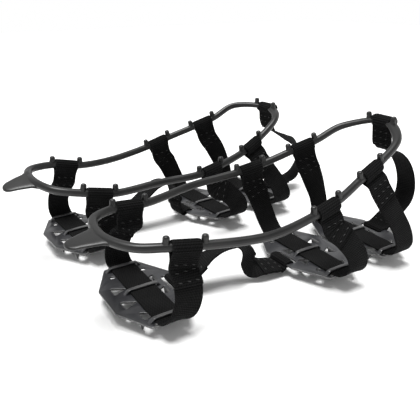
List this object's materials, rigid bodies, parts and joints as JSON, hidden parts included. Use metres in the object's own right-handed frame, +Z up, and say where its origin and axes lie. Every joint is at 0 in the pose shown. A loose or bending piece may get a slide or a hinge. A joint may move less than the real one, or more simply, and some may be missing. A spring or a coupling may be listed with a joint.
{
  "type": "pair of shoe ice cleats",
  "caption": "Pair of stretch-on ice cleats: rubber rings that grip a shoe, with toothed steel plates hung under the sole on webbing straps.",
  "frame": {"origin": "middle of the pair's footprint, on the ground", "axes": "+X to the toes, +Y to the wearer's left, +Z up; the right cleat is on the -Y side and the left cleat on the +Y side"},
  "size_m": [0.332, 0.2464, 0.1107],
  "materials": {
    "rubber": "satin moulded rubber",
    "webbing": "matt woven webbing",
    "plate_steel": "dark satin coated steel"
  },
  "bodies": {
    "right_ring": {"right_ring": "rubber", "right_heel_left_loop": "webbing", "right_heel_right_loop": "webbing", "right_ball_left_loop": "webbing", "right_ball_right_loop": "webbing", "right_toe_left_loop": "webbing", "right_toe_right_loop": "webbing", "right_toe_strap_loop": "webbing"},
    "right_pull_tab": {"right_pull_tab": "rubber"},
    "right_heel_sling": {"right_heel_plate": "plate_steel", "right_heel_cross_strap": "webbing", "right_link_strap_heel_half": "webbing"},
    "right_ball_sling": {"right_ball_plate": "plate_steel", "right_ball_cross_strap": "webbing", "right_link_strap_ball_half": "webbing"},
    "right_toe_sling": {"right_toe_plate": "plate_steel", "right_toe_cross_strap": "webbing", "right_toe_hoop_strap": "webbing"},
    "left_ring": {"left_ring": "rubber", "left_heel_left_loop": "webbing", "left_heel_right_loop": "webbing", "left_ball_left_loop": "webbing", "left_ball_right_loop": "webbing", "left_toe_left_loop": "webbing", "left_toe_right_loop": "webbing", "left_toe_strap_loop": "webbing"},
    "left_pull_tab": {"left_pull_tab": "rubber"},
    "left_heel_sling": {"left_heel_plate": "plate_steel", "left_heel_cross_strap": "webbing", "left_link_strap_heel_half": "webbing"},
    "left_ball_sling": {"left_ball_plate": "plate_steel", "left_ball_cross_strap": "webbing", "left_link_strap_ball_half": "webbing"},
    "left_toe_sling": {"left_toe_plate": "plate_steel", "left_toe_cross_strap": "webbing", "left_toe_hoop_strap": "webbing"}
  },
  "joints": [
    {"name": "right_heel_swing", "type": "hinge", "parent": "right_ring", "child": "right_heel_sling", "pos_m": [-0.08877, -0.05184, 0.06012], "axis": [-0.0183, 0.9998, 0.0055], "range_deg": [-15, 15], "deforming": ["right_link_strap_heel_half"]},
    {"name": "right_ball_swing", "type": "hinge", "parent": "right_ring", "child": "right_ball_sling", "pos_m": [0.02547, -0.0567, 0.06548], "axis": [0.0513, 0.9981, 0.0341], "range_deg": [-12, 12], "deforming": ["right_link_strap_ball_half"]},
    {"name": "right_toe_swing", "type": "hinge", "parent": "right_ring", "child": "right_toe_sling", "pos_m": [0.07614, -0.05898, 0.08066], "axis": [0.0372, 0.9993, 0.0091], "range_deg": [-12, 12], "deforming": ["right_toe_hoop_strap"]},
    {"name": "right_tab_flex", "type": "hinge", "parent": "right_ring", "child": "right_pull_tab", "pos_m": [-0.1356, -0.05083, 0.06202], "axis": [0.034, 0.9994, 0], "range_deg": [-20, 50], "stiffness_Nm_per_rad": 0.02},
    {"name": "left_cleat_lift", "type": "slide", "parent": "right_ring", "child": "left_ring", "axis": [0, 0, 1], "range_m": [0, 0.15]},
    {"name": "left_heel_swing", "type": "hinge", "parent": "left_ring", "child": "left_heel_sling", "pos_m": [-0.09793, 0.06374, 0.06189], "axis": [0.0032, 0.9995, 0.031], "range_deg": [-15, 15], "deforming": ["left_link_strap_heel_half"]},
    {"name": "left_ball_swing", "type": "hinge", "parent": "left_ring", "child": "left_ball_sling", "pos_m": [0.00519, 0.06843, 0.06361], "axis": [-0.017, 0.9991, 0.0398], "range_deg": [-12, 12], "deforming": ["left_link_strap_ball_half"]},
    {"name": "left_toe_swing", "type": "hinge", "parent": "left_ring", "child": "left_toe_sling", "pos_m": [0.05664, 0.06923, 0.07702], "axis": [-0.0277, 0.9968, 0.075], "range_deg": [-12, 12], "deforming": ["left_toe_hoop_strap"]},
    {"name": "left_tab_flex", "type": "hinge", "parent": "left_ring", "child": "left_pull_tab", "pos_m": [-0.14906, 0.06294, 0.06902], "axis": [-0.034, 0.9994, 0], "range_deg": [-20, 50], "stiffness_Nm_per_rad": 0.02}
  ],
  "couplings": [
    {"joint": "right_toe_swing", "follows": "right_ball_swing", "ratio": 1},
    {"joint": "left_toe_swing", "follows": "left_ball_swing", "ratio": 1}
  ]
}
